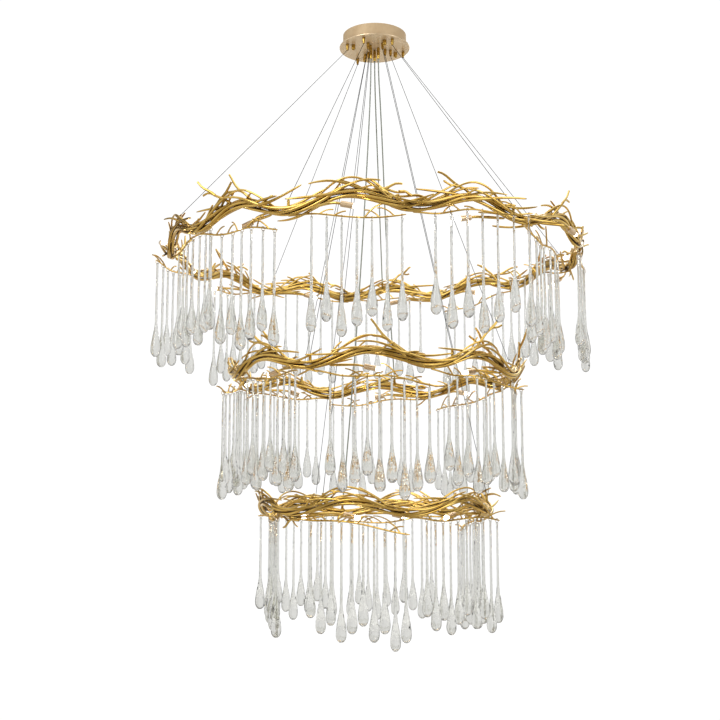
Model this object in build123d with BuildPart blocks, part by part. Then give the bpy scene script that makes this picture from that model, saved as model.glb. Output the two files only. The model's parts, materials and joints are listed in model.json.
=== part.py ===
# Three-tier chandelier: rings of gilded twigs hung with glass drops, under a round ceiling canopy.
# Millimetres, +Z up. The origin is the centre of the canopy on the ceiling.
from build123d import *
import os
from dataclasses import dataclass
from math import atan2, cos, degrees, pi, radians, sin
from random import Random

# Canopy
plate_diameter = 200
plate_thickness = 3
plate_round = 1.2
shell_diameter = 180
shell_height = 35
shell_wall = 1.2
shell_flange = 3.4
bracket_diameter = 150
bracket_thickness = 2
bracket_bore = 40
ceiling_screw_circle = 110
ceiling_screw_hole = 5.5
ceiling_screw_count = 4
ceiling_screw_angle = 20
stud_circle = 132
stud_count = 4
stud_azimuth = 25
stud_diameter = 6
stud_clearance = 0.3
cap_nut_diameter = 11
cap_nut_height = 15
cap_nut_wall = 3
cap_nut_dome = 5
terminal_length = 36
terminal_width = 18
terminal_height = 14
terminal_azimuth = 158
terminal_circle = 96
terminal_ways = 3
terminal_bore = 3

# Wire grippers and cord glands
wire_diameter = 1.5
wire_clearance = 0.5
wire_bend = 4.5
wire_seat_gap = 0.05
gripper_diameter = 8.5
gripper_length = 12
gripper_stem_diameter = 4.4
gripper_mouth_diameter = 6.6
gripper_lip = 1.2
collar_flange_diameter = 7.2
collar_flange = 1.2
collar_length = 8
collar_travel = 2.5
running_clearance = 0.15
gland_diameter = 9
gland_length = 32
gland_circle = 24
gland_azimuth = 180
gland_stem_diameter = 7
gland_taper_length = 9
gland_nose_diameter = 6.5
cord_diameter = 4
cord_clearance = 0.2
cord_seat_gap = 0.1
cord_exit_run = 34
cord_arc_share = 0.45
stem_length_above = 4

# Twigs
strand_count = 5
strand_radius = 4.3
twig_tip_radius = 2.1
twig_sides = 5
bundle_radius = 8.2
braid_play = 0.4
strand_twist = 216
strand_span = 1.75
strand_stations = 14
flare_share = 0.26
rising_share = 0.2
wire_zone = 0.16
rise_out = (-6, 22)
rise_up = (16, 38)
wire_reach = 70
round_wire = (22, 32)
sink_out = (34, 46)
sink_down = (-32, -12)
section_start = Vector(0.2, 0.3, 1)
side_twig_radius = 2.6
side_twig_length = 52
side_twig_forward = 0.85
side_twig_stations = 5
side_twig_climb = (0.15, 0.5)
side_twig_lean = (-0.35, 0.35)
arch_rise = 26
arch_lean = 14
arch_stations = 8
arch_start = (0.15, 0.3)
arch_share = 0.62
arch_wander = (-3, 3)
hanger_radius = 2.2
hanger_round = 1.3
hanger_share = 0.97
hanger_sink = 4.4
seed = 11

# Lamps
sleeve_radius = 7
sleeve_length = 30
sleeve_wall = 1
sleeve_back = 2
sleeve_chamfer = 0.6
socket_length = 14
socket_clearance = 0.2
bulb_radius = 5.2
bulb_length = 27
bulb_neck_radius = 4.4
bulb_neck = 3
pin_radius = 0.5
pin_spacing = 5
pin_length = 8
pin_clearance = 0.3
lamp_twig_radius = 3.3
lamp_twig_root = 0.34
lamp_twig_bend = 21
lamp_twig_neck = 6
lamp_dip = 12
lamp_offset = 38
lamp_drop = 22

# Wire anchors and cord inlets on the rings
anchor_diameter = 7
anchor_top = 28
anchor_foot = 5
anchor_chamfer = 0.8
inlet_length = 24

# Glass drops
eye_radius = 5
eye_thickness = 4
eye_clearance = 0.35
stem_top_radius = 2.6
stem_radius = 3.4
bulb_drop_radius = 13.4
drop_taper = 96
drop_belly = 19
stem_root = 3
nose_radius = 11
swell_radius = 125
first_drop = 54
last_drop_margin = 10
drop_lengths = (240, 274, 250, 286, 262)


@dataclass
class Tier:
    name: str
    radius: float  # of the bundle's centreline
    height: float  # of the ring's middle plane
    waves: int  # crests round the ring, one hanger twig and one lamp to each
    wave: float  # rise of a crest above the middle plane
    crest: float  # azimuth of the first crest, in degrees
    wires: tuple  # azimuths of the suspension wires
    gripper_circle: float  # diameter of the circle of wire grippers
    drops: int  # glass drops on each hanger twig
    sides: tuple  # +1 where a hanger twig leans outwards, -1 inwards, in turn
    lean: float  # how far a hanger's tip stands out from the bundle
    tips: tuple  # heights of the hanger tips from the middle plane, in turn
    inlet: float  # azimuth where the power cord enters the ring
    cord: tuple  # route of the power cord from its gland to the inlet


upper = Tier(
    name="upper",
    radius=560,
    height=-640,
    waves=12,
    wave=18,
    crest=-6,
    wires=(-66, -21, 36, 104, 216),
    gripper_circle=168,
    drops=7,
    sides=(1, -1),
    lean=42,
    tips=(-8, -58, -34, 4, -66, -24),
    inlet=177.5,
    cord=((2, 58, -166), (6, 148, -254), (12, 272, -371), (18, 410, -492)),
)
middle = Tier(
    name="middle",
    radius=388,
    height=-978,
    waves=8,
    wave=18,
    crest=-2,
    wires=(-24, 29, 100, 215),
    gripper_circle=92,
    drops=9,
    sides=(1,),
    lean=34,
    tips=(-54, -38, -66, -44, -32),
    inlet=171,
    cord=((15, 10, -178), (22, 60, -308), (31, 148, -512), (43, 252, -735)),
)
lower = Tier(
    name="lower",
    radius=304,
    height=-1336,
    waves=6,
    wave=16,
    crest=-14,
    wires=(-25, 95, 215),
    gripper_circle=60,
    drops=10,
    sides=(1,),
    lean=34,
    tips=(-34, -60, -44, -28),
    inlet=199,
    cord=((-13, 4, -192), (-22, 38, -366), (-40, 99, -652), (-66, 180, -1000)),
)
tiers = (upper, middle, lower)

plate_top = -shell_height
plate_bottom = plate_top - plate_thickness
gripper_end = plate_bottom - gripper_length
collar_top = gripper_end + gripper_lip + collar_flange
collar_end = collar_top - collar_length
gland_end = plate_bottom - gland_length
wire_radius = wire_diameter / 2
wire_bore = wire_radius + wire_clearance
cord_bore = cord_diameter / 2 + cord_clearance


def around(radius, azimuth, height):
    # Azimuth 0 is the near side, -Y, and turns towards +X.
    angle = radians(azimuth)
    return Vector(radius * sin(angle), -radius * cos(angle), height)


def outward(azimuth):
    return around(1, azimuth, 0)


def along(azimuth):
    return around(1, azimuth + 90, 0)


def wave_height(tier, azimuth):
    return tier.wave * cos(tier.waves * radians(azimuth - tier.crest))


def beside_bundle(tier, azimuth, out, up):
    height = tier.height + wave_height(tier, azimuth) + up
    return around(tier.radius + out, azimuth, height)


def pitch(tier):
    return 360 / tier.waves


def dip(tier, index):
    return tier.crest + pitch(tier) * (index + 0.5)


def wave_number(tier, azimuth):
    return int((azimuth - dip(tier, 0)) // pitch(tier))


def side_at(tier, azimuth):
    return tier.sides[wave_number(tier, azimuth) % len(tier.sides)]


def lamp_turn(index):
    # Lamps point one way round the ring and then the other.
    return 1 if index % 2 else -1


def write(name, pieces):
    group = Compound(label=name, children=pieces)
    export_step(group, f"parts/{name}.step")


def twig(points, radii):
    # A tapering rod of few flat sides through the points, with its section carried along unturned.
    with BuildPart() as rod:
        across = None
        for i, point in enumerate(points):
            before = points[max(i - 1, 0)]
            after = points[min(i + 1, len(points) - 1)]
            heading = (after - before).normalized()
            if across is None:
                across = heading.cross(section_start)
            across = (across - heading * across.dot(heading)).normalized()
            with BuildSketch(Plane(origin=point, x_dir=across, z_dir=heading)):
                RegularPolygon(radius=radii[i], side_count=twig_sides)
        loft(ruled=True)
    return rod.part


def ease(share):
    return share * share * (3 - 2 * share)


def drift(amount, share):
    # A rising tip levels out at its end, a sinking one keeps falling.
    return amount * (ease(share) if amount > 0 else share * share)


def strand_path(tier, start, slot, head, tail):
    # One main twig: it joins the twisted bundle, runs along it and leaves it again.
    # Every dip has one strand at the very bottom, and between the dips the strands open and close sideways.
    points = []
    radii = []
    for i in range(strand_stations):
        t = i / (strand_stations - 1)
        azimuth = start + t * strand_span * pitch(tier)
        turns = (azimuth - dip(tier, 0)) / pitch(tier)
        angle = radians(360 / strand_count * slot + strand_twist * turns - 90)
        by_head = max(0, 1 - t / flare_share)
        by_tail = max(0, 1 - (1 - t) / flare_share)
        play = braid_play * sin(2 * pi * turns) * (1 if slot % 2 else -1)
        out = head[0] * by_head + tail[0] * by_tail + bundle_radius * (1 + play) * cos(angle)
        up = drift(head[1], by_head) + drift(tail[1], by_tail) + bundle_radius * sin(angle)
        points.append(beside_bundle(tier, azimuth, out, up))
        body = min(1, min(t, 1 - t) / flare_share)
        radii.append(twig_tip_radius + (strand_radius - twig_tip_radius) * body)
    return points, radii


def by_wire(tier, azimuth):
    gaps = [abs((azimuth - wire + 180) % 360 - 180) for wire in tier.wires]
    return radians(min(gaps)) * tier.radius < wire_reach


def flare(tier, azimuth, leaving, dice):
    # Tips rise over the bundle, or sink beside a lamp's own twig, clear of the lamp and the hanger.
    share = ((azimuth - dip(tier, 0)) / pitch(tier)) % 1
    by_lamp_twig = leaving == lamp_turn(wave_number(tier, azimuth)) and (0.5 - share) * leaving > 0
    rising = dice.random() < rising_share or share < wire_zone or share > 1 - wire_zone
    if rising or not by_lamp_twig:
        out = round_wire if by_wire(tier, azimuth) else rise_out
        return dice.uniform(*out), dice.uniform(*rise_up)
    return -side_at(tier, azimuth) * dice.uniform(*sink_out), dice.uniform(*sink_down)


def side_twig(points, at, lean, length):
    root = points[at]
    heading = (points[at + 1] - points[at - 1]).normalized()
    path = []
    radii = []
    for i in range(side_twig_stations):
        t = i / (side_twig_stations - 1)
        path.append(root + heading * length * side_twig_forward * t + lean * length * ease(t))
        radii.append(side_twig_radius + (twig_tip_radius - side_twig_radius) * t)
    return twig(path, radii)


def lamp_place(tier, index):
    # The lamp hangs beside its crest, on the side that the hanger twig leaves free.
    azimuth = dip(tier, index) + pitch(tier) / 2
    side = -side_at(tier, azimuth)
    turn = lamp_turn(index)
    origin = around(tier.radius + side * lamp_offset, azimuth, tier.height - lamp_drop)
    tilt = radians(lamp_dip)
    heading = along(azimuth) * turn * cos(tilt) - Vector(0, 0, 1) * sin(tilt)
    back = origin - heading * sleeve_length / 2
    return Plane(origin=back, x_dir=outward(azimuth), z_dir=heading)


def lamp_twig(tier, index):
    place = lamp_place(tier, index)
    azimuth = dip(tier, index) + pitch(tier) / 2
    turn = lamp_turn(index)
    side = -side_at(tier, azimuth)
    root = azimuth - turn * lamp_twig_root * pitch(tier)
    start = beside_bundle(tier, root, side * bundle_radius, -bundle_radius)
    bend = place.origin - place.z_dir * lamp_twig_bend
    neck = place.origin - place.z_dir * lamp_twig_neck
    points = (start, bend, neck, place.origin)
    return twig(points, (strand_radius, lamp_twig_radius, lamp_twig_radius, lamp_twig_radius))


def branch_ring(tier):
    dice = Random(seed)
    twigs = []
    for index in range(tier.waves):
        for slot in range(strand_count):
            start = dip(tier, index) + pitch(tier) * ((slot + 0.5) / strand_count - 0.5)
            end = start + strand_span * pitch(tier)
            head = flare(tier, start, -1, dice)
            tail = flare(tier, end, 1, dice)
            points, radii = strand_path(tier, start, slot, head, tail)
            twigs.append(twig(points, radii))
            rise = Vector(0, 0, dice.uniform(*side_twig_climb))
            if tail[1] < 0:
                rise = rise * -1
            lean = outward(end) * dice.uniform(*side_twig_lean) + rise
            twigs.append(side_twig(points, strand_stations - 4, lean, side_twig_length))
        twigs.append(arch(tier, index, dice))
        twigs.append(lamp_twig(tier, index))
    return twigs


def arch(tier, index, dice):
    # A thin twig that leaves the bundle and comes back to it over an open loop.
    start = dip(tier, index) + pitch(tier) * dice.uniform(*arch_start)
    points = []
    for i in range(arch_stations):
        t = i / (arch_stations - 1)
        azimuth = start + t * arch_share * pitch(tier)
        bow = sin(radians(180 * t))
        out = arch_lean * bow + dice.uniform(*arch_wander)
        points.append(beside_bundle(tier, azimuth, out, bundle_radius + arch_rise * bow))
    return twig(points, [side_twig_radius] * arch_stations)


def hanger_line(tier, index):
    # Root under the bundle's lowest strand at a dip, tip standing off in the next wave.
    root_azimuth = dip(tier, index)
    tip_azimuth = root_azimuth + hanger_share * pitch(tier)
    under = bundle_radius + strand_radius * cos(radians(180 / twig_sides)) + hanger_radius - hanger_sink
    root = beside_bundle(tier, root_azimuth, 0, -under)
    lean = tier.lean * tier.sides[index % len(tier.sides)]
    tip_height = tier.height + tier.tips[index % len(tier.tips)]
    tip = around(tier.radius + lean, tip_azimuth, tip_height)
    return root, tip


def hanger_twig(tier, index):
    root, tip = hanger_line(tier, index)
    with BuildPart() as rod:
        with BuildSketch(Plane(origin=root, z_dir=tip - root)):
            Circle(hanger_radius)
        extrude(amount=(tip - root).length)
        fillet(rod.edges().sort_by(Axis(root, tip - root))[-1], hanger_round)
    return rod.part


def glass_drop(length, hinge):
    # Hangs from the origin. The eye turns on the hinge direction, the stem hangs plumb.
    # The outline is arcs that run into each other: neck, swell, flank and nose.
    belly = drop_belly - length
    neck = drop_taper - length
    nose = nose_radius - length
    rise = belly - nose
    flank_radius = (bulb_drop_radius**2 + rise**2 - nose_radius**2) / (2 * (bulb_drop_radius - nose_radius))
    flank_turn = degrees(atan2(rise, flank_radius - bulb_drop_radius))
    step = bulb_drop_radius - stem_radius
    reach = neck - belly
    both_radii = (step**2 + reach**2) / (2 * step)
    neck_radius = both_radii - swell_radius
    neck_turn = degrees(atan2(reach, both_radii - step))
    with BuildPart() as drop:
        with BuildSketch(Plane.XZ):
            with BuildLine():
                Polyline((0, -length), (0, -stem_root), (stem_top_radius, -stem_root), (stem_radius, neck))
                CenterArc((stem_radius + neck_radius, neck), neck_radius, 180, neck_turn)
                CenterArc((bulb_drop_radius - swell_radius, belly), swell_radius, neck_turn, -neck_turn)
                CenterArc((bulb_drop_radius - flank_radius, belly), flank_radius, 0, -flank_turn)
                CenterArc((0, nose), nose_radius, -flank_turn, flank_turn - 90)
            make_face()
        revolve(axis=Axis.Z)
        eye = Plane(origin=hinge * -eye_thickness / 2, z_dir=hinge)
        with BuildSketch(eye):
            Circle(eye_radius)
        extrude(amount=eye_thickness)
        with BuildSketch(eye):
            Circle(hanger_radius + eye_clearance)
        extrude(amount=eye_thickness, mode=Mode.SUBTRACT)
    return drop.part


def drop_places(tier, index):
    # Distances along the hanger twig, evenly spread between its root and its tip.
    root, tip = hanger_line(tier, index)
    step = ((tip - root).length - first_drop - last_drop_margin) / (tier.drops - 1)
    return [first_drop + step * i for i in range(tier.drops)]


def drop_group(tier, index):
    root, tip = hanger_line(tier, index)
    hinge = (tip - root).normalized()
    models = [glass_drop(length, hinge) for length in drop_lengths]
    drops = []
    for i, distance in enumerate(drop_places(tier, index)):
        model = models[(i + index) % len(models)]
        drops.append(model.moved(Location(root + hinge * distance)))
    return drops


def wire_ends(tier, azimuth):
    top = around(tier.gripper_circle / 2, azimuth, collar_end)
    foot = beside_bundle(tier, azimuth, 0, anchor_top)
    slope = (foot - top).normalized()
    flat = (slope.X**2 + slope.Y**2) ** 0.5
    return top, foot + Vector(0, 0, wire_radius * flat + wire_seat_gap)


def wire(tier, azimuth):
    top, foot = wire_ends(tier, azimuth)
    inside = Vector(top.X, top.Y, plate_top)
    with BuildPart() as strand:
        with BuildLine() as path:
            FilletPolyline(inside, top, foot, radius=wire_bend)
        with BuildSketch(Plane(origin=inside, z_dir=(0, 0, -1))):
            Circle(wire_radius)
        sweep(path=path.line)
    return strand.part


def wire_anchor(tier, azimuth):
    foot = beside_bundle(tier, azimuth, 0, anchor_foot)
    with BuildPart() as stud:
        with BuildSketch(Plane(origin=foot)):
            Circle(anchor_diameter / 2)
        extrude(amount=anchor_top - anchor_foot)
        chamfer(stud.edges().group_by(Axis.Z)[-1], anchor_chamfer)
    return stud.part


def turned(profile, place):
    # A turned piece from its half outline of (radius, height) points, set at a place.
    with BuildPart() as piece:
        with BuildSketch(Plane.XZ):
            with BuildLine():
                Polyline(*profile, close=True)
            make_face()
        revolve(axis=Axis.Z)
    return piece.part.moved(place)


def gripper_barrel(place):
    half = gripper_diameter / 2
    mouth = gripper_mouth_diameter / 2
    chamber = collar_flange_diameter / 2 + running_clearance
    ceiling = collar_top + collar_travel + running_clearance
    profile = (
        (wire_bore, plate_top + stem_length_above),
        (gripper_stem_diameter / 2, plate_top + stem_length_above),
        (gripper_stem_diameter / 2, plate_bottom),
        (half, plate_bottom),
        (half, gripper_end),
        (mouth, gripper_end),
        (mouth, gripper_end + gripper_lip),
        (chamber, gripper_end + gripper_lip),
        (chamber, ceiling),
        (wire_bore, ceiling),
    )
    return turned(profile, place)


def gripper_collar(place):
    neck = gripper_mouth_diameter / 2 - running_clearance
    flange = collar_flange_diameter / 2
    profile = (
        (wire_bore, collar_top),
        (flange, collar_top),
        (flange, collar_top - collar_flange),
        (neck, collar_top - collar_flange),
        (neck, collar_end),
        (wire_bore * 2, collar_end),
        (wire_bore, collar_end + wire_bore * 2),
    )
    return turned(profile, place)


def cord_gland(place):
    half = gland_diameter / 2
    profile = (
        (cord_bore, plate_top + stem_length_above),
        (gland_stem_diameter / 2, plate_top + stem_length_above),
        (gland_stem_diameter / 2, plate_bottom),
        (half, plate_bottom),
        (half, gland_end + gland_taper_length),
        (gland_nose_diameter / 2, gland_end),
        (cord_bore, gland_end),
    )
    return turned(profile, place)


def cap_nut(place):
    half = cap_nut_diameter / 2
    bore = stud_diameter / 2 + stud_clearance
    top = plate_bottom
    end = top - cap_nut_height
    shoulder = end + cap_nut_dome
    with BuildPart() as nut:
        with BuildSketch(Plane.XZ):
            with BuildLine():
                Polyline((bore, top), (half, top), (half, shoulder))
                EllipticalCenterArc((0, shoulder), half, cap_nut_dome, start_angle=270, arc_size=90)
                Polyline((0, end), (0, end + cap_nut_wall), (bore, end + cap_nut_wall), (bore, top))
            make_face()
        revolve(axis=Axis.Z)
    return nut.part.moved(place)


def lamp_sleeve():
    with BuildPart() as sleeve:
        with BuildSketch():
            Circle(sleeve_radius)
        extrude(amount=sleeve_length)
        with BuildSketch(Plane.XY.offset(sleeve_back)):
            Circle(sleeve_radius - sleeve_wall)
        extrude(amount=sleeve_length - sleeve_back, mode=Mode.SUBTRACT)
        chamfer(sleeve.edges().group_by(Axis.Z)[0], sleeve_chamfer)
    return sleeve.part


def lamp_socket():
    with BuildPart() as socket:
        with BuildSketch(Plane.XY.offset(sleeve_back)):
            Circle(sleeve_radius - sleeve_wall - socket_clearance)
        extrude(amount=socket_length)
        front = Plane.XY.offset(sleeve_back + socket_length)
        with BuildSketch(front):
            with GridLocations(pin_spacing, 0, 2, 1):
                Circle(pin_radius + pin_clearance)
        extrude(amount=-pin_length - pin_clearance, mode=Mode.SUBTRACT)
    return socket.part


def capsule_bulb():
    base = sleeve_back + socket_length
    tip = base + bulb_length
    with BuildPart() as bulb:
        with BuildSketch(Plane.XZ):
            with BuildLine():
                Polyline(
                    (0, base),
                    (bulb_neck_radius, base),
                    (bulb_neck_radius, base + bulb_neck),
                    (bulb_radius, base + bulb_neck),
                    (bulb_radius, tip - bulb_radius),
                )
                RadiusArc((bulb_radius, tip - bulb_radius), (0, tip), -bulb_radius)
                Line((0, tip), (0, base))
            make_face()
        revolve(axis=Axis.Z)
        with BuildSketch(Plane.XY.offset(base)):
            with GridLocations(pin_spacing, 0, 2, 1):
                Circle(pin_radius)
        extrude(amount=-pin_length)
    return bulb.part


def gland_place(index):
    return around(gland_circle / 2, gland_azimuth - 360 / len(tiers) * index, 0)


def inlet_plane(tier):
    # Where the cord meets its inlet: the inlet lies in line with the cord's last run.
    foot = beside_bundle(tier, tier.inlet, 0, anchor_foot)
    heading = (foot - Vector(*tier.cord[-1])).normalized()
    return Plane(origin=foot - heading * inlet_length, z_dir=heading)


def cord_inlet(tier):
    with BuildPart() as inlet:
        with BuildSketch(inlet_plane(tier)):
            Circle(anchor_diameter / 2)
        extrude(amount=inlet_length)
    return inlet.part


def power_cord(tier, index):
    top = gland_place(index) + Vector(0, 0, plate_top + stem_length_above)
    seat = inlet_plane(tier)
    points = [top, gland_place(index) + Vector(0, 0, gland_end - cord_exit_run)]
    points += [Vector(*point) for point in tier.cord]
    points.append(seat.origin - seat.z_dir * cord_seat_gap)
    radii = []
    for a, b, c in zip(points, points[1:], points[2:]):
        shorter = min((b - a).length, (c - b).length)
        turn = radians((b - a).get_angle(c - b))
        radii.append(cord_arc_share * shorter * cos(turn / 2) / sin(turn / 2))
    print(tier.name, "cord radii", [round(radius) for radius in radii])
    with BuildPart() as cord:
        with BuildLine() as path:
            FilletPolyline(*points, radius=radii)
        with BuildSketch(Plane(origin=top, z_dir=(0, 0, -1))):
            Circle(cord_diameter / 2)
        sweep(path=path.line)
    length = sum(edge.length for edge in path.edges())
    section = pi * cord_diameter**2 / 4
    print(tier.name, "cord length", round(length), "volume share", cord.part.volume / (length * section))
    return cord.part


os.makedirs("parts", exist_ok=True)
stud_places = [
    Location(around(stud_circle / 2, stud_azimuth + 360 / stud_count * i, 0)) for i in range(stud_count)
]
gland_places = [Location(gland_place(i)) for i in range(len(tiers))]
gripper_places = {
    tier.name: [Location(around(tier.gripper_circle / 2, azimuth, 0)) for azimuth in tier.wires]
    for tier in tiers
}
all_gripper_places = [place for tier in tiers for place in gripper_places[tier.name]]

with BuildPart() as ceiling_bracket:
    with BuildSketch():
        Circle(bracket_diameter / 2)
        Circle(bracket_bore / 2, mode=Mode.SUBTRACT)
        with PolarLocations(ceiling_screw_circle / 2, ceiling_screw_count, start_angle=ceiling_screw_angle):
            Circle(ceiling_screw_hole / 2, mode=Mode.SUBTRACT)
    extrude(amount=-bracket_thickness)
    with BuildSketch(Plane.XY.offset(-bracket_thickness)):
        with Locations(*stud_places):
            Circle(stud_diameter / 2)
    extrude(amount=plate_bottom - cap_nut_height + cap_nut_wall + stud_clearance + bracket_thickness)
ceiling_bracket.part.label = "ceiling_bracket"
export_step(ceiling_bracket.part, "parts/ceiling_bracket.step")

with BuildPart() as canopy_shell:
    with BuildSketch():
        Circle(shell_diameter / 2)
        Circle(shell_diameter / 2 - shell_wall, mode=Mode.SUBTRACT)
    extrude(amount=-shell_height)
    with BuildSketch(Plane.XY.offset(-shell_height)):
        Circle(shell_diameter / 2)
        Circle(shell_diameter / 2 - shell_flange, mode=Mode.SUBTRACT)
    extrude(amount=shell_wall)
canopy_shell.part.label = "canopy_shell"
export_step(canopy_shell.part, "parts/canopy_shell.step")

with BuildPart() as canopy_plate:
    with BuildSketch(Plane.XY.offset(plate_bottom)):
        Circle(plate_diameter / 2)
        with Locations(*stud_places):
            Circle(stud_diameter / 2 + stud_clearance, mode=Mode.SUBTRACT)
        with Locations(*all_gripper_places):
            Circle(gripper_stem_diameter / 2 + running_clearance, mode=Mode.SUBTRACT)
        with Locations(*gland_places):
            Circle(gland_stem_diameter / 2 + running_clearance, mode=Mode.SUBTRACT)
    extrude(amount=plate_thickness)
    fillet(canopy_plate.faces().sort_by(Axis.Z)[0].outer_wire().edges(), plate_round)
canopy_plate.part.label = "canopy_plate"
export_step(canopy_plate.part, "parts/canopy_plate.step")

terminal_centre = around(terminal_circle / 2, terminal_azimuth, plate_top)
with BuildPart() as terminal_block:
    with BuildSketch(Plane(origin=terminal_centre)):
        RectangleRounded(terminal_length, terminal_width, terminal_bore / 2)
    extrude(amount=terminal_height)
    with BuildSketch(Plane(origin=terminal_centre + Vector(0, 0, terminal_height / 2), z_dir=(0, 1, 0))):
        with GridLocations(terminal_length / terminal_ways, 0, terminal_ways, 1):
            Circle(terminal_bore / 2)
    extrude(amount=terminal_width, both=True, mode=Mode.SUBTRACT)
terminal_block.part.label = "terminal_block"
export_step(terminal_block.part, "parts/terminal_block.step")

write("cap_nuts", [cap_nut(place) for place in stud_places])
write("gripper_barrels", [gripper_barrel(place) for place in all_gripper_places])
write("cord_glands", [cord_gland(place) for place in gland_places])

sleeve = lamp_sleeve()
socket = lamp_socket()
bulb = capsule_bulb()
for number, tier in enumerate(tiers):
    lamps = [lamp_place(tier, index).location for index in range(tier.waves)]
    write(f"{tier.name}_gripper_collars", [gripper_collar(place) for place in gripper_places[tier.name]])
    write(f"{tier.name}_wires", [wire(tier, azimuth) for azimuth in tier.wires])
    write(f"{tier.name}_power_cord", [power_cord(tier, number)])
    anchors = [wire_anchor(tier, azimuth) for azimuth in tier.wires]
    write(f"{tier.name}_wire_anchors", [*anchors, cord_inlet(tier)])
    write(f"{tier.name}_branches", branch_ring(tier))
    write(f"{tier.name}_hanger_twigs", [hanger_twig(tier, index) for index in range(tier.waves)])
    write(f"{tier.name}_lamp_sleeves", [sleeve.moved(place) for place in lamps])
    write(f"{tier.name}_lamp_sockets", [socket.moved(place) for place in lamps])
    write(f"{tier.name}_bulbs", [bulb.moved(place) for place in lamps])
    for index in range(tier.waves):
        write(f"{tier.name}_drops_{index + 1:02d}", drop_group(tier, index))
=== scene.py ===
import json
from math import atan2, pi, radians, sin, tau
from random import Random

import bmesh
import bpy
from mathutils import Matrix, Vector


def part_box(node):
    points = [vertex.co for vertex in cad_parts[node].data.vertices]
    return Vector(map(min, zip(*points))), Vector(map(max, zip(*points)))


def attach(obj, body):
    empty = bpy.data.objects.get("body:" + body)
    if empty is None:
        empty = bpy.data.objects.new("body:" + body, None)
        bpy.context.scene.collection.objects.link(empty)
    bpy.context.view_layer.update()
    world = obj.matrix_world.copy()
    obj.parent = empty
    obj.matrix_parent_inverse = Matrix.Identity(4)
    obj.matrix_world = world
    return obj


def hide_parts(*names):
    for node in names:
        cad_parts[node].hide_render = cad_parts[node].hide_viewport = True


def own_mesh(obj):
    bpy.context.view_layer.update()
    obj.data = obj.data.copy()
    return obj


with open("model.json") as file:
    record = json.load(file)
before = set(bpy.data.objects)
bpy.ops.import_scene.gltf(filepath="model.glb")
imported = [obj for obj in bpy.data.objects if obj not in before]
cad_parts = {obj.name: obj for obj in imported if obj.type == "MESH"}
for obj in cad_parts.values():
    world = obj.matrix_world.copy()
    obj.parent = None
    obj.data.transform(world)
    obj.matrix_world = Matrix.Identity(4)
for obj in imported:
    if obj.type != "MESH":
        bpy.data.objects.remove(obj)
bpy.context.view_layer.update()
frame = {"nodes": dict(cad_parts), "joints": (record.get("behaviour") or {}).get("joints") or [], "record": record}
nodes = frame["nodes"]
joints = {joint["name"]: joint for joint in frame["joints"]}
tierNames = ("upper", "middle", "lower")
print("frame loaded,", len(nodes), "nodes")


# Handy steps

samePlace = 0.00001  # corners of a CAD solid that lie this near are one


def pick(obj):  # the one selected object, and the active one
    bpy.ops.object.select_all(action="DESELECT")
    obj.select_set(True)
    bpy.context.view_layer.objects.active = obj


def joined(name, pieces):  # many objects made one
    pick(pieces[0])
    for piece in pieces:
        piece.select_set(True)
    bpy.ops.object.join()
    whole = bpy.context.active_object
    whole.name = name
    return whole


def applied(obj, kind, **settings):  # a modifier that is applied at once
    modifier = obj.modifiers.new(kind.title(), kind)
    for name, value in settings.items():
        setattr(modifier, name, value)
    pick(obj)
    bpy.ops.object.modifier_apply(modifier=modifier.name)


def middleOf(points):
    return sum(points, Vector()) / len(points)


def byPlace(points):  # for the same order in each run
    return [round(value, 4) for value in middleOf(points)]


def islands(node):  # the vertex places of each separate solid of a CAD node
    work = bmesh.new()
    work.from_mesh(nodes[node].data)
    bmesh.ops.remove_doubles(work, verts=work.verts, dist=samePlace)
    seen = set()
    groups = []
    for start in work.verts:
        if start in seen:
            continue
        seen.add(start)
        edge = [start]
        group = []
        while edge:
            vert = edge.pop()
            group.append(vert.co.copy())
            for link in vert.link_edges:
                other = link.other_vert(vert)
                if other not in seen:
                    seen.add(other)
                    edge.append(other)
        groups.append(group)
    work.free()
    return sorted(groups, key=byPlace)


def upBy(height):
    return Vector((0, 0, height))


def shares(count):  # even steps from 0 to 1
    return [i / (count - 1) for i in range(count)]


def tapered(thick, thin, count):  # radii along a twig, from its root to its tip
    return [thick + (thin - thick) * t for t in shares(count)]


def curveLine(name, kind, points):
    curve = bpy.data.curves.new(name, "CURVE")
    curve.dimensions = "3D"
    spline = curve.splines.new(kind)
    spline.points.add(len(points) - 1)
    for point, place in zip(spline.points, points):
        point.co = (*place, 1)
    line = bpy.data.objects.new(name, curve)
    bpy.context.scene.collection.objects.link(line)
    return line, curve, spline


def nurbsRoute(name, points):
    route, curve, spline = curveLine(name, "NURBS", points)
    spline.order_u = 3
    spline.use_endpoint_u = True
    spline.resolution_u = 12
    return route


def tube(name, points, radii, roundness=3):  # a round rod through the points, made a mesh
    rod, curve, spline = curveLine(name, "POLY", points)
    curve.bevel_depth = 1
    curve.bevel_resolution = roundness
    curve.use_fill_caps = True
    for point, radius in zip(spline.points, radii):
        point.radius = radius
    pick(rod)
    bpy.ops.object.convert(target="MESH")
    bpy.ops.object.shade_smooth()
    return bpy.context.active_object


# Shader helpers

def feed(tree, socket, value):  # links a socket, or sets its value
    if isinstance(value, bpy.types.NodeSocket):
        tree.links.new(value, socket)
    else:
        socket.default_value = value


def addNode(tree, kind, inputs=None, **settings):
    node = tree.nodes.new(kind)
    for name, value in settings.items():
        setattr(node, name, value)
    for label, value in (inputs or {}).items():
        feed(tree, node.inputs[label], value)
    return node


def mathNode(tree, operation, *values):
    node = addNode(tree, "ShaderNodeMath", operation=operation)
    for socket, value in zip(node.inputs, values):
        feed(tree, socket, value)
    return node.outputs[0]


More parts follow.
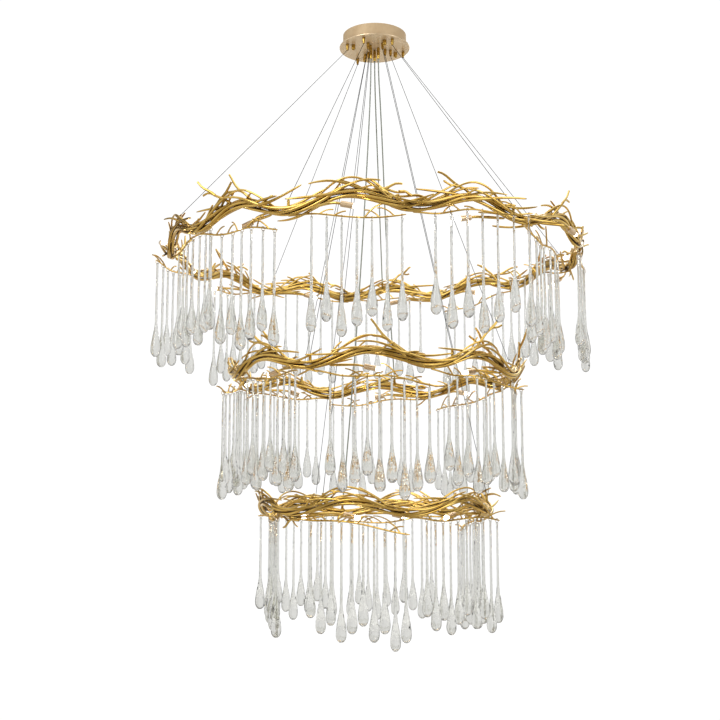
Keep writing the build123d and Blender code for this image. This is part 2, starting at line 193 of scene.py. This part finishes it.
def mixColour(tree, factor, first, second):
    node = addNode(tree, "ShaderNodeMix", data_type="RGBA")
    colours = [socket for socket in node.inputs if socket.type == "RGBA"]
    feed(tree, node.inputs[0], factor)
    feed(tree, colours[0], first)
    feed(tree, colours[1], second)
    return next(socket for socket in node.outputs if socket.type == "RGBA")


def mixShaders(tree, factor, first, second):
    node = addNode(tree, "ShaderNodeMixShader", {"Fac": factor})
    feed(tree, node.inputs[1], first)
    feed(tree, node.inputs[2], second)
    return node.outputs["Shader"]


def mapRange(tree, value, low, high, start=0.0, end=1.0):
    labels = ("Value", "From Min", "From Max", "To Min", "To Max")
    node = addNode(tree, "ShaderNodeMapRange", dict(zip(labels, (value, low, high, start, end))))
    return node.outputs["Result"]


def rampNode(tree, value, stops):
    node = addNode(tree, "ShaderNodeValToRGB", {"Fac": value})
    ramp = node.color_ramp
    while len(ramp.elements) < len(stops):
        ramp.elements.new(0.5)
    for stop, (place, colour) in zip(ramp.elements, stops):
        stop.position = place
        stop.color = (*colour, 1)
    return node.outputs["Color"]


# Shared surface effects

giltLook = {
    "cloudDetail": 4.0,
    "patch": (0.34, 0.62),  # cloud values between which deep turns to bright
    "poreFineness": 7.0,  # how much finer the pores are than the clouds
    "poreDepth": 0.35,
    "hollowReach": 0.014,  # how near the next surface must be for the painted shade to darken the colour
    "hollow": (0.2, 0.75),  # openness between which the painted shade turns to the plain colour
    "hollowSamples": 6,
    "paintedShade": 0.3,  # share of the deep colour that the painted shade in a hollow keeps
}
drawnLook = {"detail": 2.0, "swirl": 1.2, "streak": (0.35, 0.65)}
black = (0, 0, 0, 1)
white = (1, 1, 1, 1)


def newGroup(name, inputs, outputs):
    group = bpy.data.node_groups.new(name, "ShaderNodeTree")
    for label, value in inputs.items():
        kind = "Color" if isinstance(value, tuple) else "Float"
        socket = group.interface.new_socket(label, in_out="INPUT", socket_type=f"NodeSocket{kind}")
        socket.default_value = value
    for label, kind in outputs.items():
        group.interface.new_socket(label, in_out="OUTPUT", socket_type=f"NodeSocket{kind}")
    given = group.nodes.new("NodeGroupInput").outputs
    result = group.nodes.new("NodeGroupOutput").inputs
    return group, given, result


def giltGroup():  # painted shade in the hollows, where ambient occlusion darkens the colour; polish on the swells, fine pores
    inputs = {"Grain": 60.0, "Bright": white, "Deep": white, "Smooth": 0.15, "Dull": 0.4}
    outputs = {"Color": "Color", "Roughness": "Float", "Height": "Float"}
    group, given, result = newGroup("giltSurface", inputs, outputs)
    place = addNode(group, "ShaderNodeTexCoord").outputs["Object"]
    cloud = addNode(
        group, "ShaderNodeTexNoise",
        {"Vector": place, "Scale": given["Grain"], "Detail": giltLook["cloudDetail"]},
    ).outputs["Fac"]
    fine = mathNode(group, "MULTIPLY", given["Grain"], giltLook["poreFineness"])
    pores = addNode(group, "ShaderNodeTexVoronoi", {"Vector": place, "Scale": fine}).outputs["Distance"]
    patch = mapRange(group, cloud, *giltLook["patch"])
    # painted shade: ambient occlusion darkens the colour towards a dark share of the deep colour wherever other
    # surfaces are near, in every grained finish
    hollow = addNode(
        group, "ShaderNodeAmbientOcclusion", {"Distance": giltLook["hollowReach"]},
        samples=giltLook["hollowSamples"],
    )
    clear = mapRange(group, hollow.outputs["AO"], *giltLook["hollow"])
    paintedShade = mixColour(group, giltLook["paintedShade"], black, given["Deep"])
    skin = mixColour(group, patch, given["Deep"], given["Bright"])
    feed(group, result["Color"], mixColour(group, clear, paintedShade, skin))
    feed(group, result["Roughness"], mapRange(group, patch, 0.0, 1.0, given["Dull"], given["Smooth"]))
    feed(group, result["Height"], mathNode(group, "MULTIPLY_ADD", pores, giltLook["poreDepth"], cloud))
    return group


def drawnGroup():  # long streaks left by drawing glass, wire or cord downwards
    inputs = {"Fineness": 120.0, "Pull": 0.15}
    group, given, result = newGroup("drawnStreaks", inputs, {"Streak": "Float", "Height": "Float"})
    place = addNode(group, "ShaderNodeTexCoord").outputs["Object"]
    stretch = addNode(group, "ShaderNodeCombineXYZ", {"X": 1.0, "Y": 1.0, "Z": given["Pull"]})
    pulled = addNode(group, "ShaderNodeVectorMath", operation="MULTIPLY")
    feed(group, pulled.inputs[0], place)
    feed(group, pulled.inputs[1], stretch.outputs["Vector"])
    swirl = addNode(group, "ShaderNodeTexNoise", {
        "Vector": pulled.outputs["Vector"],
        "Scale": given["Fineness"],
        "Detail": drawnLook["detail"],
        "Distortion": drawnLook["swirl"],
    }).outputs["Fac"]
    feed(group, result["Streak"], mapRange(group, swirl, *drawnLook["streak"]))
    feed(group, result["Height"], swirl)
    return group


gilt = giltGroup()
drawn = drawnGroup()


# Finishes

glassLook = {"ior": 1.48, "pull": 0.4, "bump": 0.6}
capsuleLook = {"frost": (1, 0.97, 0.92, 1), "roughness": 0.35, "fineness": 180.0}
sheathLook = {"roughness": 0.22, "coat": 0.6, "coatRoughness": 0.1, "fineness": 500.0}


def newMaterial(name, effect, values, sockets):
    material = bpy.data.materials.new(name)
    material.use_nodes = True
    tree = material.node_tree
    shader = tree.nodes["Principled BSDF"]
    for label, value in sockets.items():
        shader.inputs[label].default_value = value
    surface = addNode(tree, "ShaderNodeGroup", node_tree=effect)
    for label, value in values.items():
        surface.inputs[label].default_value = value
    return material, tree, shader, surface.outputs


def bumped(tree, shader, height, depth, strength=1.0):
    bump = addNode(tree, "ShaderNodeBump", {"Distance": depth, "Strength": strength, "Height": height})
    feed(tree, shader.inputs["Normal"], bump.outputs["Normal"])


def grained(name, metallic, grain, bright, deep, smooth, dull, depth):
    values = {"Grain": grain, "Bright": (*bright, 1), "Deep": (*deep, 1), "Smooth": smooth, "Dull": dull}
    material, tree, shader, surface = newMaterial(name, gilt, values, {"Metallic": metallic})
    feed(tree, shader.inputs["Base Color"], surface["Color"])
    feed(tree, shader.inputs["Roughness"], surface["Roughness"])
    bumped(tree, shader, surface["Height"], depth)
    return material


def metal(name, *look):
    return grained(name, 1.0, *look)


def moulded(name, *look):
    return grained(name, 0.0, *look)


def clearGlass(name, tint, fineness, depth, roughness):
    sockets = {
        "Base Color": (*tint, 1),
        "Transmission Weight": 1.0,
        "IOR": glassLook["ior"],
        "Roughness": roughness,
    }
    values = {"Fineness": fineness, "Pull": glassLook["pull"]}
    material, tree, shader, surface = newMaterial(name, drawn, values, sockets)
    bumped(tree, shader, surface["Height"], depth, glassLook["bump"])
    return material


def litBulb(name, warm, cool, strength):
    sockets = {
        "Base Color": capsuleLook["frost"],
        "Roughness": capsuleLook["roughness"],
        "Emission Strength": strength,
    }
    values = {"Fineness": capsuleLook["fineness"]}
    material, tree, shader, surface = newMaterial(name, drawn, values, sockets)
    glow = mixColour(tree, surface["Streak"], (*warm, 1), (*cool, 1))
    feed(tree, shader.inputs["Emission Color"], glow)
    return material


def sheath(name, clear, core):  # clear cord with the grey cores showing through
    sockets = {
        "Roughness": sheathLook["roughness"],
        "Coat Weight": sheathLook["coat"],
        "Coat Roughness": sheathLook["coatRoughness"],
    }
    values = {"Fineness": sheathLook["fineness"]}
    material, tree, shader, surface = newMaterial(name, drawn, values, sockets)
    feed(tree, shader.inputs["Base Color"], mixColour(tree, surface["Streak"], (*clear, 1), (*core, 1)))
    return material


# Grained finishes: grain, bright and deep colour, roughness where smooth and where dull, depth of the bump.
# Before these, grained itself takes the share of metal.
finishes = {
    "gilded_twig": metal("giltTwig", 20, (0.84, 0.585, 0.175), (0.61, 0.38, 0.08), 0.1, 0.2, 0.0001),
    "brass": metal("turnedBrass", 120, (0.68, 0.46, 0.11), (0.40, 0.24, 0.04), 0.1, 0.26, 0.0001),
    "champagne_metal": grained(
        "champagneDrum", 0.35, 40, (0.60, 0.45, 0.27), (0.56, 0.41, 0.24), 0.6, 0.7, 0.00005
    ),
    "mirror_gold": grained(
        "polishedPlate", 0.55, 30, (0.80, 0.63, 0.42), (0.76, 0.59, 0.38), 0.26, 0.34, 0.00002
    ),
    "zinc_steel": metal("zincSteel", 90, (0.62, 0.63, 0.65), (0.45, 0.46, 0.48), 0.3, 0.5, 0.0001),
    "steel_wire": metal("strandedWire", 900, (0.03, 0.03, 0.028), (0.01, 0.01, 0.009), 0.45, 0.6, 0.0002),
    "terminal_plastic": moulded("terminalWhite", 80, (0.82, 0.82, 0.78), (0.74, 0.74, 0.7), 0.4, 0.6, 0.0001),
    "socket_ceramic": moulded("glazedSocket", 120, (0.86, 0.85, 0.8), (0.76, 0.74, 0.7), 0.2, 0.4, 0.0001),
    "bulb_glass": litBulb("litCapsule", (1, 0.86, 0.62), (1, 0.98, 0.94), 16.0),
    "drop_glass": clearGlass("drawnGlass", (0.89, 0.89, 0.855), 90, 0.0035, 0.03),
    "clear_cord": sheath("clearSheath", (0.36, 0.39, 0.34), (0.16, 0.18, 0.15)),
}
sleeveFinish = grained(
    "champagneSleeve", 0.8, 60, (0.80, 0.62, 0.42), (0.66, 0.48, 0.28), 0.16, 0.28, 0.00004
)
for part in frame["record"]["subparts"]:
    isSleeve = part["node"].endswith("lamp_sleeves")
    skin = nodes[part["node"]].data.materials
    skin.clear()
    skin.append(sleeveFinish if isSleeve else finishes[part["material_slot"]])
print("finishes made,", len(finishes) + 1)


def dressed(obj, body, slot, *replaced):  # finish, ride and stand in for CAD nodes
    obj.data.materials.clear()
    obj.data.materials.append(finishes[slot])
    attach(obj, body)
    if replaced:
        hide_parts(*replaced)


# Camera, floor and light

cameraSetup = {"lens": 55.9, "place": (0.0, -3.044, -1.3485), "tiltUp": 7.75, "turnLeft": 0.785}
bpy.ops.object.select_all(action="DESELECT")
bpy.ops.object.camera_add(
    location=cameraSetup["place"],
    rotation=(radians(90 + cameraSetup["tiltUp"]), 0, radians(cameraSetup["turnLeft"])),
)
camera = bpy.context.active_object
camera.name = "photoCamera"
camera.data.lens = cameraSetup["lens"]
bpy.context.scene.camera = camera

floorSetup = {  # a room with the ceiling at 3.2 m
    "height": -3.2,
    "radius": 6.4,
    "vertices": 128,
    "pale": (0.92, 0.92, 0.91, 1),
    "roughness": 0.9,
}
bpy.ops.mesh.primitive_circle_add(
    vertices=floorSetup["vertices"], radius=floorSetup["radius"], fill_type="NGON",
    location=(0, 0, floorSetup["height"]),
)
floor = bpy.context.active_object
floor.name = "studioFloor"
floor.visible_glossy = False  # the gold mirrors the studio walls, not the floor
floorSkin = bpy.data.materials.new("paleFloor")
floorSkin.use_nodes = True
floorShader = floorSkin.node_tree.nodes["Principled BSDF"]
floorShader.inputs["Base Color"].default_value = floorSetup["pale"]
floorShader.inputs["Roughness"].default_value = floorSetup["roughness"]
floor.data.materials.append(floorSkin)

studio = {
    "backdrop": 1.05,  # what the camera sees
    "throughGlass": (0.9, 0.8),  # share and grey of the plain wall that shows through glass
    "strips": 5,  # tall dark flags all round, which streak the metal
    "flag": (0.05, 0.04, 0.03),
    "bands": (  # height of the direction, from straight down to straight up, and colour
        (0.0, (0.38, 0.34, 0.29)),
        (0.36, (0.66, 0.62, 0.56)),
        (0.50, (0.95, 0.95, 0.95)),
        (0.64, (0.80, 0.80, 0.80)),
        (0.80, (0.45, 0.44, 0.42)),
        (1.0, (1.7, 1.7, 1.7)),
    ),
    "flagHeights": (  # where the flags start and end, in the same heights
        (0.30, (0, 0, 0)),
        (0.40, (1, 1, 1)),
        (0.80, (1, 1, 1)),
        (0.90, (0, 0, 0)),
    ),
}


def studioWorld():
    world = bpy.data.worlds.new("softStudio")
    world.use_nodes = True
    tree = world.node_tree
    tree.nodes.clear()
    place = addNode(tree, "ShaderNodeTexCoord").outputs["Generated"]
    way = addNode(tree, "ShaderNodeSeparateXYZ", {"Vector": place}).outputs
    lift = mapRange(tree, way["Z"], -1.0, 1.0)
    walls = rampNode(tree, lift, studio["bands"])
    reach = rampNode(tree, lift, studio["flagHeights"])
    turn = mathNode(tree, "MULTIPLY", mathNode(tree, "ARCTAN2", way["X"], way["Y"]), studio["strips"])
    flags = mathNode(tree, "MULTIPLY", mathNode(tree, "MAXIMUM", mathNode(tree, "SINE", turn), 0.0), reach)
    shaded = mixColour(tree, flags, walls, (*studio["flag"], 1))
    room = addNode(tree, "ShaderNodeBackground", {"Color": shaded})
    backdrop = addNode(tree, "ShaderNodeBackground", {"Color": white, "Strength": studio["backdrop"]})
    path = addNode(tree, "ShaderNodeLightPath").outputs
    share, grey = studio["throughGlass"]
    wall = addNode(tree, "ShaderNodeBackground", {"Color": white, "Strength": grey})
    behind = mathNode(tree, "MULTIPLY", path["Is Transmission Ray"], share)
    inGlass = mixShaders(tree, behind, room.outputs["Background"], wall.outputs["Background"])
    seen = mixShaders(tree, path["Is Camera Ray"], inGlass, backdrop.outputs["Background"])
    addNode(tree, "ShaderNodeOutputWorld", {"Surface": seen})
    bpy.context.scene.world = world


studioWorld()
lampAim = Vector((0, 0, -0.95))  # the middle tier
softboxes = {  # place, size and power of each large lamp
    "keyBox": ((-2.6, -3.2, 1.2), 2.2, 70),
    "fillBox": ((3.0, -2.2, 0.2), 2.4, 30),
    "backBox": ((0.8, 3.2, 0.9), 2.4, 50),
}
for name, (place, size, power) in softboxes.items():
    aim = (lampAim - Vector(place)).to_track_quat("-Z", "Y").to_euler()
    bpy.ops.object.light_add(type="AREA", location=place, rotation=aim)
    box = bpy.context.active_object
    box.name = name
    box.data.size = size
    box.data.energy = power
    box.visible_transmission = False  # no lamp shows through the glass
bpy.context.scene.view_settings.view_transform = "Standard"
print("camera, floor and light set")


# Power cords: the points are the CAD route's, from the gland to the inlet on the ring

cordLook = {"diameter": 0.004, "roundness": 4}
cordRoutes = {
    "upper": (
        (0, 0.012, -0.031), (0, 0.012, -0.104), (0.002, 0.058, -0.166), (0.006, 0.148, -0.254),
        (0.012, 0.272, -0.371), (0.018, 0.41, -0.492), (0.0236, 0.5413, -0.6058),
    ),
    "middle": (
        (0.0104, -0.006, -0.031), (0.0104, -0.006, -0.104), (0.015, 0.01, -0.178), (0.022, 0.06, -0.308),
        (0.031, 0.148, -0.512), (0.043, 0.252, -0.735), (0.0591, 0.3712, -0.9421),
    ),
    "lower": (
        (-0.0104, -0.006, -0.031), (-0.0104, -0.006, -0.104), (-0.013, 0.004, -0.192), (-0.022, 0.038, -0.366),
        (-0.04, 0.099, -0.652), (-0.066, 0.18, -1.0), (-0.0968, 0.2803, -1.3233),
    ),
}


def fixedEnd(tier, node):  # where a wire or cord is held while its ring is raised
    for bent in joints[f"{tier}_height"]["deforming_nodes"]:
        if bent["node"] == node:
            return bent["fixed_end_z_m"]


def shortens(obj):  # gives the piece a mesh of its own
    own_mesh(obj)


def powerCord(tier):
    points = [Vector(point) for point in cordRoutes[tier]]
    route = nurbsRoute(f"{tier}_cord_route", points)
    line = bpy.data.meshes.new_from_object(route)
    path = [vert.co.copy() for vert in line.vertices]
    bpy.data.meshes.remove(line)
    bpy.data.objects.remove(route)
    flex = tube(f"{tier}_flex", path, [cordLook["diameter"] / 2] * len(path), cordLook["roundness"])
    dressed(flex, "canopy", "clear_cord", f"{tier}_power_cord")
    shortens(flex)


for tier in tierNames:
    powerCord(tier)
print("power cords made")


# Suspension wires

wireLook = {"radius": 0.00075, "roundness": 2, "topSlice": 0.001, "footSlice": 0.002}


def suspensionWire(tier, number, places):
    held = fixedEnd(tier, f"{tier}_wires")
    high = max(place.z for place in places)
    low = min(place.z for place in places)
    top = middleOf([place for place in places if place.z > high - wireLook["topSlice"]])
    foot = middleOf([place for place in places if place.z < low + wireLook["footSlice"]])
    foot.z = low + wireLook["radius"]
    knee = Vector((top.x, top.y, held))  # the wire leans from the gripper's end on
    wire = tube(f"{tier}_wire_{number}", (top, knee, foot), [wireLook["radius"]] * 3, wireLook["roundness"])
    dressed(wire, "canopy", "steel_wire", f"{tier}_wires")
    shortens(wire)


for tier in tierNames:
    for number, places in enumerate(islands(f"{tier}_wires")):
        suspensionWire(tier, number + 1, places)
print("suspension wires made")


# Twig rings: the faceted CAD strands, rounded and roughened

twigLook = {
    "merge": 0.00005,
    "flattest": 60,  # triangles that bend less than this make one quad
    "squarest": 180,
    "levels": 2,
    "swell": {"upper": 0.0006, "middle": 0.0004, "lower": 0.0004},  # gives back what rounding takes
    "knot": 0.0012,
    "knotSize": 0.05,
    "dent": 0.0001,
    "dentSize": 0.0125,
}


def cloudTexture(name, size):
    texture = bpy.data.textures.new(name, "CLOUDS")
    texture.noise_scale = size
    texture.noise_depth = 1
    return texture


knots = cloudTexture("twigKnots", twigLook["knotSize"])
dents = cloudTexture("twigDents", twigLook["dentSize"])


def twigRing(tier):
    ring = nodes[f"{tier}_branches"].copy()
    ring.data = ring.data.copy()
    ring.parent = None
    for label in list(ring.keys()):
        del ring[label]
    ring.name = f"{tier}_twigs"
    bpy.context.scene.collection.objects.link(ring)
    pick(ring)
    bpy.ops.object.mode_set(mode="EDIT")
    bpy.ops.mesh.select_all(action="SELECT")
    bpy.ops.mesh.customdata_custom_splitnormals_clear()
    bpy.ops.mesh.remove_doubles(threshold=twigLook["merge"])
    bpy.ops.mesh.tris_convert_to_quads(
        face_threshold=radians(twigLook["flattest"]), shape_threshold=radians(twigLook["squarest"])
    )
    bpy.ops.object.mode_set(mode="OBJECT")
    applied(ring, "SUBSURF", levels=twigLook["levels"], render_levels=twigLook["levels"])
    applied(ring, "DISPLACE", strength=twigLook["swell"][tier], mid_level=0)
    for depth, texture in ((twigLook["knot"], knots), (twigLook["dent"], dents)):
        applied(ring, "DISPLACE", strength=depth, mid_level=0.5, texture=texture, texture_coords="LOCAL")
    pick(ring)
    bpy.ops.object.shade_smooth()
    dressed(ring, f"{tier}_ring", "gilded_twig", f"{tier}_branches")
    print(tier, "twigs", len(ring.data.polygons), "faces")


for tier in tierNames:
    twigRing(tier)


# Forked tips that stand up from the rings

antlerLook = {
    "count": {"upper": 34, "middle": 18, "lower": 20},  # tried, before those in the way are left out
    "spread": 0.35,  # how far each strays from even places round the ring
    "turns": (-1, -1, 1),  # most run one way round
    "length": (0.07, 0.115),
    "rise": (0.022, 0.042),
    "levelBy": 1.3,  # the climb is over before the tip
    "inward": (-0.004, 0.022),
    "wave": 0.005,
    "waves": 8,
    "thick": 0.0036,
    "thin": 0.0026,
    "forkAt": (0.4, 0.6),
    "forkLength": (0.03, 0.05),
    "forkClimb": (0.45, 0.8),
    "forkAside": (-0.4, 0.4),
    "forkWaves": 5,
    "forkStations": 6,
    "stations": 12,
    "roundness": 2,
    "sink": 0.004,
    "spinePoints": 120,
    "swingRoom": 0.036,
    "wireRoom": 0.014,
}
antlerDice = Random(11)
dropBoxes = {node: [Vector(corner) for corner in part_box(node)] for node in nodes if "_drops_" in node}


def ringSpine(tier, count):  # middle of the twig bundle, all the way round
    places = [[] for i in range(count)]
    for vert in nodes[f"{tier}_branches"].data.vertices:
        places[int((atan2(vert.co.y, vert.co.x) / tau) % 1 * count)].append(vert.co)
    return [middleOf(bunch) for bunch in places]


def wireFeet(tier):
    return [min(places, key=lambda place: place.z) for places in islands(f"{tier}_wires")]


def inBox(point, low, high):
    return all(a < here < b for a, here, b in zip(low, point, high))


def nearWire(point, foot):  # close to the upright plane that the wire hangs in, on its side
    aside = Vector((-foot.y, foot.x)).normalized()
    return abs(point.xy.dot(aside)) < antlerLook["wireRoom"] and point.xy.dot(foot.xy) > 0


def inTheWay(tier, points, feet):  # of the other tiers' swinging drops, or of this tier's wires
    room = Vector((1, 1, 1)) * antlerLook["swingRoom"]
    others = [box for node, box in dropBoxes.items() if not node.startswith(tier)]
    if any(inBox(point, low - room, high + room) for low, high in others for point in points):
        return True
    return any(nearWire(point, foot) for foot in feet for point in points)


def antlerLines(base, along, inward):  # climbs off the bundle, flattens out and forks
    length = antlerDice.uniform(*antlerLook["length"])
    rise = antlerDice.uniform(*antlerLook["rise"])
    lean = antlerDice.uniform(*antlerLook["inward"])
    phase = antlerDice.uniform(0, tau)
    points = []
    for t in shares(antlerLook["stations"]):
        climbed = rise * sin(min(1, antlerLook["levelBy"] * t) * pi / 2)
        waved = antlerLook["wave"] * t * sin(phase + antlerLook["waves"] * t)
        points.append(base + along * length * t + inward * lean * t * t + upBy(climbed + waved))
    fork = round(antlerDice.uniform(*antlerLook["forkAt"]) * antlerLook["stations"])
    reach = antlerDice.uniform(*antlerLook["forkLength"])
    climb = upBy(antlerDice.uniform(*antlerLook["forkClimb"]))
    way = along + climb + inward * antlerDice.uniform(*antlerLook["forkAside"])
    prong = []
    for t in shares(antlerLook["forkStations"]):
        waved = antlerLook["wave"] * t * sin(phase + antlerLook["forkWaves"] * t)
        prong.append(points[fork] + way * reach * t + upBy(waved))
    return points, prong


def antlerRod(name, points):
    radii = tapered(antlerLook["thick"], antlerLook["thin"], len(points))
    return tube(name, points, radii, antlerLook["roundness"])


def antlers(tier):
    bins = antlerLook["spinePoints"]
    spine = ringSpine(tier, bins)
    count = antlerLook["count"][tier]
    spread = antlerLook["spread"]
    feet = wireFeet(tier)
    rods = []
    for i in range(count):
        at = round((i + antlerDice.uniform(-spread, spread)) * bins / count) % bins
        ahead = (spine[(at + 1) % bins] - spine[at - 1]).normalized()
        along = ahead * antlerDice.choice(antlerLook["turns"])
        inward = -Vector((spine[at].x, spine[at].y, 0)).normalized()
        lines = antlerLines(spine[at] - upBy(antlerLook["sink"]), along, inward)
        if not inTheWay(tier, lines[0] + lines[1], feet):
            rods += [antlerRod(f"{tier}_antler_{i + 1}", line) for line in lines]
    tips = joined(f"{tier}_antlers", rods)
    dressed(tips, f"{tier}_ring", "gilded_twig")
    print(tier, "forked tips", len(rods) // 2)


for tier in tierNames:
    antlers(tier)


# Glass drops, each modelled from one template, with the jump ring that it hangs on

dropLook = {
    "sides": 12,
    "length": 0.262,
    "belly": 0.019,
    "bulb": 0.0134,
    "taper": 0.096,
    "stem": 0.0034,
    "top": 0.0026,
    "bead": 0.0034,
    "beadBelow": 0.0085,
    "beadSteps": (2.6, 1.8, 0.5, 0),  # down from the bead's top, in bead radii
    "beadEnd": 0.00136,
    "width": (0.95, 1.04),
    "turn": (0, 6.28),
    "heights": (0.001, 0.004, 0.009, 0.015, 0.021, 0.029, 0.038, 0.048, 0.06, 0.074, 0.092),
}
jumpRingLook = {"radius": 0.0055, "wire": 0.0006, "segments": 12, "wireSides": 5, "hangs": 1 / 3}
dice = Random(5)


def dropRadius(height):  # of the outline, at a height over the tip
    belly, bulb, taper, stem = (dropLook[key] for key in ("belly", "bulb", "taper", "stem"))
    if height < belly:
        return bulb * (1 - (1 - height / belly) ** 2) ** 0.5
    t = min(1, (height - belly) / (taper - belly))
    return stem + (bulb - stem) * (1 - t) ** 2 * (1 + 2 * t)


def extrudeRing(rise, scale, height):
    bpy.ops.mesh.extrude_region_move(TRANSFORM_OT_translate={"value": (0, 0, rise)})
    bpy.ops.transform.resize(value=(scale, scale, 1), center_override=(0, 0, height))


def dropTemplate():  # hangs from the origin, drawn up from its tip ring by ring
    length = dropLook["length"]
    bead = dropLook["bead"]
    beadTop = length - dropLook["beadBelow"] + bead
    heights = [*dropLook["heights"], *(beadTop - step * bead for step in dropLook["beadSteps"])]
    radii = [dropRadius(height) for height in dropLook["heights"]]
    radii += [dropLook["top"], bead, bead, dropLook["beadEnd"]]
    bpy.ops.object.select_all(action="DESELECT")
    bpy.ops.mesh.primitive_circle_add(
        vertices=dropLook["sides"], radius=radii[0], fill_type="TRIFAN", location=(0, 0, heights[0] - length)
    )
    template = bpy.context.active_object
    template.name = "dropTemplate"
    bpy.ops.object.transform_apply(location=True)
    bpy.ops.object.mode_set(mode="EDIT")
    bpy.ops.mesh.select_all(action="SELECT")
    for low, high, before, after in zip(heights, heights[1:], radii, radii[1:]):
        extrudeRing(high - low, after / before, high - length)
    bpy.ops.mesh.select_all(action="SELECT")
    bpy.ops.mesh.normals_make_consistent(inside=False)
    bpy.ops.object.mode_set(mode="OBJECT")
    bpy.ops.object.shade_smooth()
    template.data.materials.append(finishes["drop_glass"])
    return template


def ringTemplate():  # jump ring, its axis along X
    bpy.ops.object.select_all(action="DESELECT")
    bpy.ops.mesh.primitive_torus_add(
        major_radius=jumpRingLook["radius"], minor_radius=jumpRingLook["wire"],
        major_segments=jumpRingLook["segments"], minor_segments=jumpRingLook["wireSides"],
        rotation=(0, radians(90), 0),
    )
    template = bpy.context.active_object
    template.name = "ringTemplate"
    bpy.ops.object.transform_apply(location=True, rotation=True)
    bpy.ops.object.shade_smooth()
    template.data.materials.append(finishes["brass"])
    return template


def copyOf(template, matrix):
    copy = template.copy()
    copy.data = template.data.copy()
    copy.data.transform(matrix)
    bpy.context.scene.collection.objects.link(copy)
    return copy


drop = dropTemplate()
jumpRing = ringTemplate()


def hungDrop(hook, length, turn):
    glass = copyOf(drop, Matrix.Rotation(dice.uniform(*dropLook["turn"]), 4, "Z"))
    longer = length - dropLook["length"]
    width = dice.uniform(*dropLook["width"])
    for vert in glass.data.vertices:
        if vert.co.z < -dropLook["length"] / 2:  # only the stem is drawn longer
            vert.co.z -= longer
        vert.co.x *= width
        vert.co.y *= width
    glass.data.transform(Matrix.Translation(hook))
    below = upBy(-jumpRingLook["radius"] * jumpRingLook["hangs"])
    ring = copyOf(jumpRing, Matrix.Translation(hook + below) @ Matrix.Rotation(turn, 4, "Z"))
    return [glass, ring]


def dropGroup(node, line):
    pieces = []
    for along, low in line["drops"]:
        hook = bend(line, along)
        pieces += hungDrop(hook, hook.z - low, line["heading"].xy.angle_signed(Vector((1, 0))))
    group = joined(f"{node}_glass", pieces)
    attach(group, node)
    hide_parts(node)


# Hanger twigs, with twiglets between the drops

hangerLook = {
    "rootRadius": 0.0024,
    "tipRadius": 0.002,
    "tipRound": 0.55,
    "rise": 0.006,
    "sway": 0.003,
    "waves": (6, 9),
    "phase": (0, 6.28),
    "swayPhase": 2,  # against the phase and the waves of the rise
    "swayWaves": 1.7,
    "stiffRoot": 4,  # the waves are full from a quarter of the length on
    "rings": 32,
    "roundness": 2,
    "past": 0.01,  # beyond the last drop
}
twigletLook = {
    "share": 0.75,
    "length": (0.024, 0.046),
    "thick": 0.0021,
    "thin": 0.0017,
    "climb": (0.3, 0.8),
    "aside": (-0.6, 0.6),
    "rings": 5,
    "roundness": 1,
}


def bend(line, along):  # the hanger twig grows in waves about its straight CAD line
    t = along / line["length"]
    free = min(1, hangerLook["stiffRoot"] * t)
    swayAngle = hangerLook["swayPhase"] * line["phase"] + hangerLook["swayWaves"] * line["waves"] * t
    rise = hangerLook["rise"] * sin(line["phase"] + line["waves"] * t) * free
    sway = hangerLook["sway"] * sin(swayAngle) * free
    return line["root"] + line["heading"] * along + upBy(rise) + line["aside"] * sway


def hangerLine(node):  # from the swing joint's axis and the places of the CAD drops
    joint = joints[node.replace("drops", "swing")]
    root = Vector(joint["pos_m"])
    heading = Vector(joint["axis"])
    drops = []
    for places in islands(node):
        low = min(place.z for place in places)
        bulb = middleOf([place for place in places if place.z < low + dropLook["belly"]])
        drops.append(((bulb.xy - root.xy).dot(heading.xy) / heading.xy.length_squared, low))
    if drops[0][0] < 0:
        heading = -heading
        drops = [(-along, low) for along, low in drops]
    return {
        "root": root,
        "heading": heading,
        "aside": heading.cross(upBy(1)).normalized(),
        "length": max(along for along, low in drops) + hangerLook["past"],
        "phase": dice.uniform(*hangerLook["phase"]),
        "waves": dice.uniform(*hangerLook["waves"]),
        "drops": drops,
    }


def hangerTwig(name, line):
    rings = hangerLook["rings"]
    points = [bend(line, t * line["length"]) for t in shares(rings)]
    radii = tapered(hangerLook["rootRadius"], hangerLook["tipRadius"], rings)
    radii[-1] *= hangerLook["tipRound"]
    return tube(name, points, radii, hangerLook["roundness"])


def twiglet(name, line, along):  # forks off between two drops and curls up
    rings = twigletLook["rings"]
    length = dice.uniform(*twigletLook["length"])
    way = line["heading"] * dice.choice((-1, 1)) + line["aside"] * dice.uniform(*twigletLook["aside"])
    climb = upBy(dice.uniform(*twigletLook["climb"]))
    root = bend(line, along)
    points = [root + way * length * t + climb * length * t * (2 - t) for t in shares(rings)]
    radii = tapered(twigletLook["thick"], twigletLook["thin"], rings)
    return tube(name, points, radii, twigletLook["roundness"])


def twiglets(name, line):
    places = sorted(along for along, low in line["drops"])
    return [
        twiglet(name, line, (near + far) / 2)
        for near, far in zip(places, places[1:])
        if dice.random() < twigletLook["share"]
    ]


for tier in tierNames:
    hangers = []
    for node in sorted(name for name in nodes if name.startswith(f"{tier}_drops_")):
        line = hangerLine(node)
        dropGroup(node, line)
        hangers.append(hangerTwig(f"{node}_hanger", line))
        hangers += twiglets(f"{node}_twiglet", line)
    hangerSet = joined(f"{tier}_hangers", hangers)
    dressed(hangerSet, f"{tier}_ring", "gilded_twig", f"{tier}_hanger_twigs")
    print(tier, "drops and hangers made")
bpy.data.objects.remove(drop)
bpy.data.objects.remove(jumpRing)
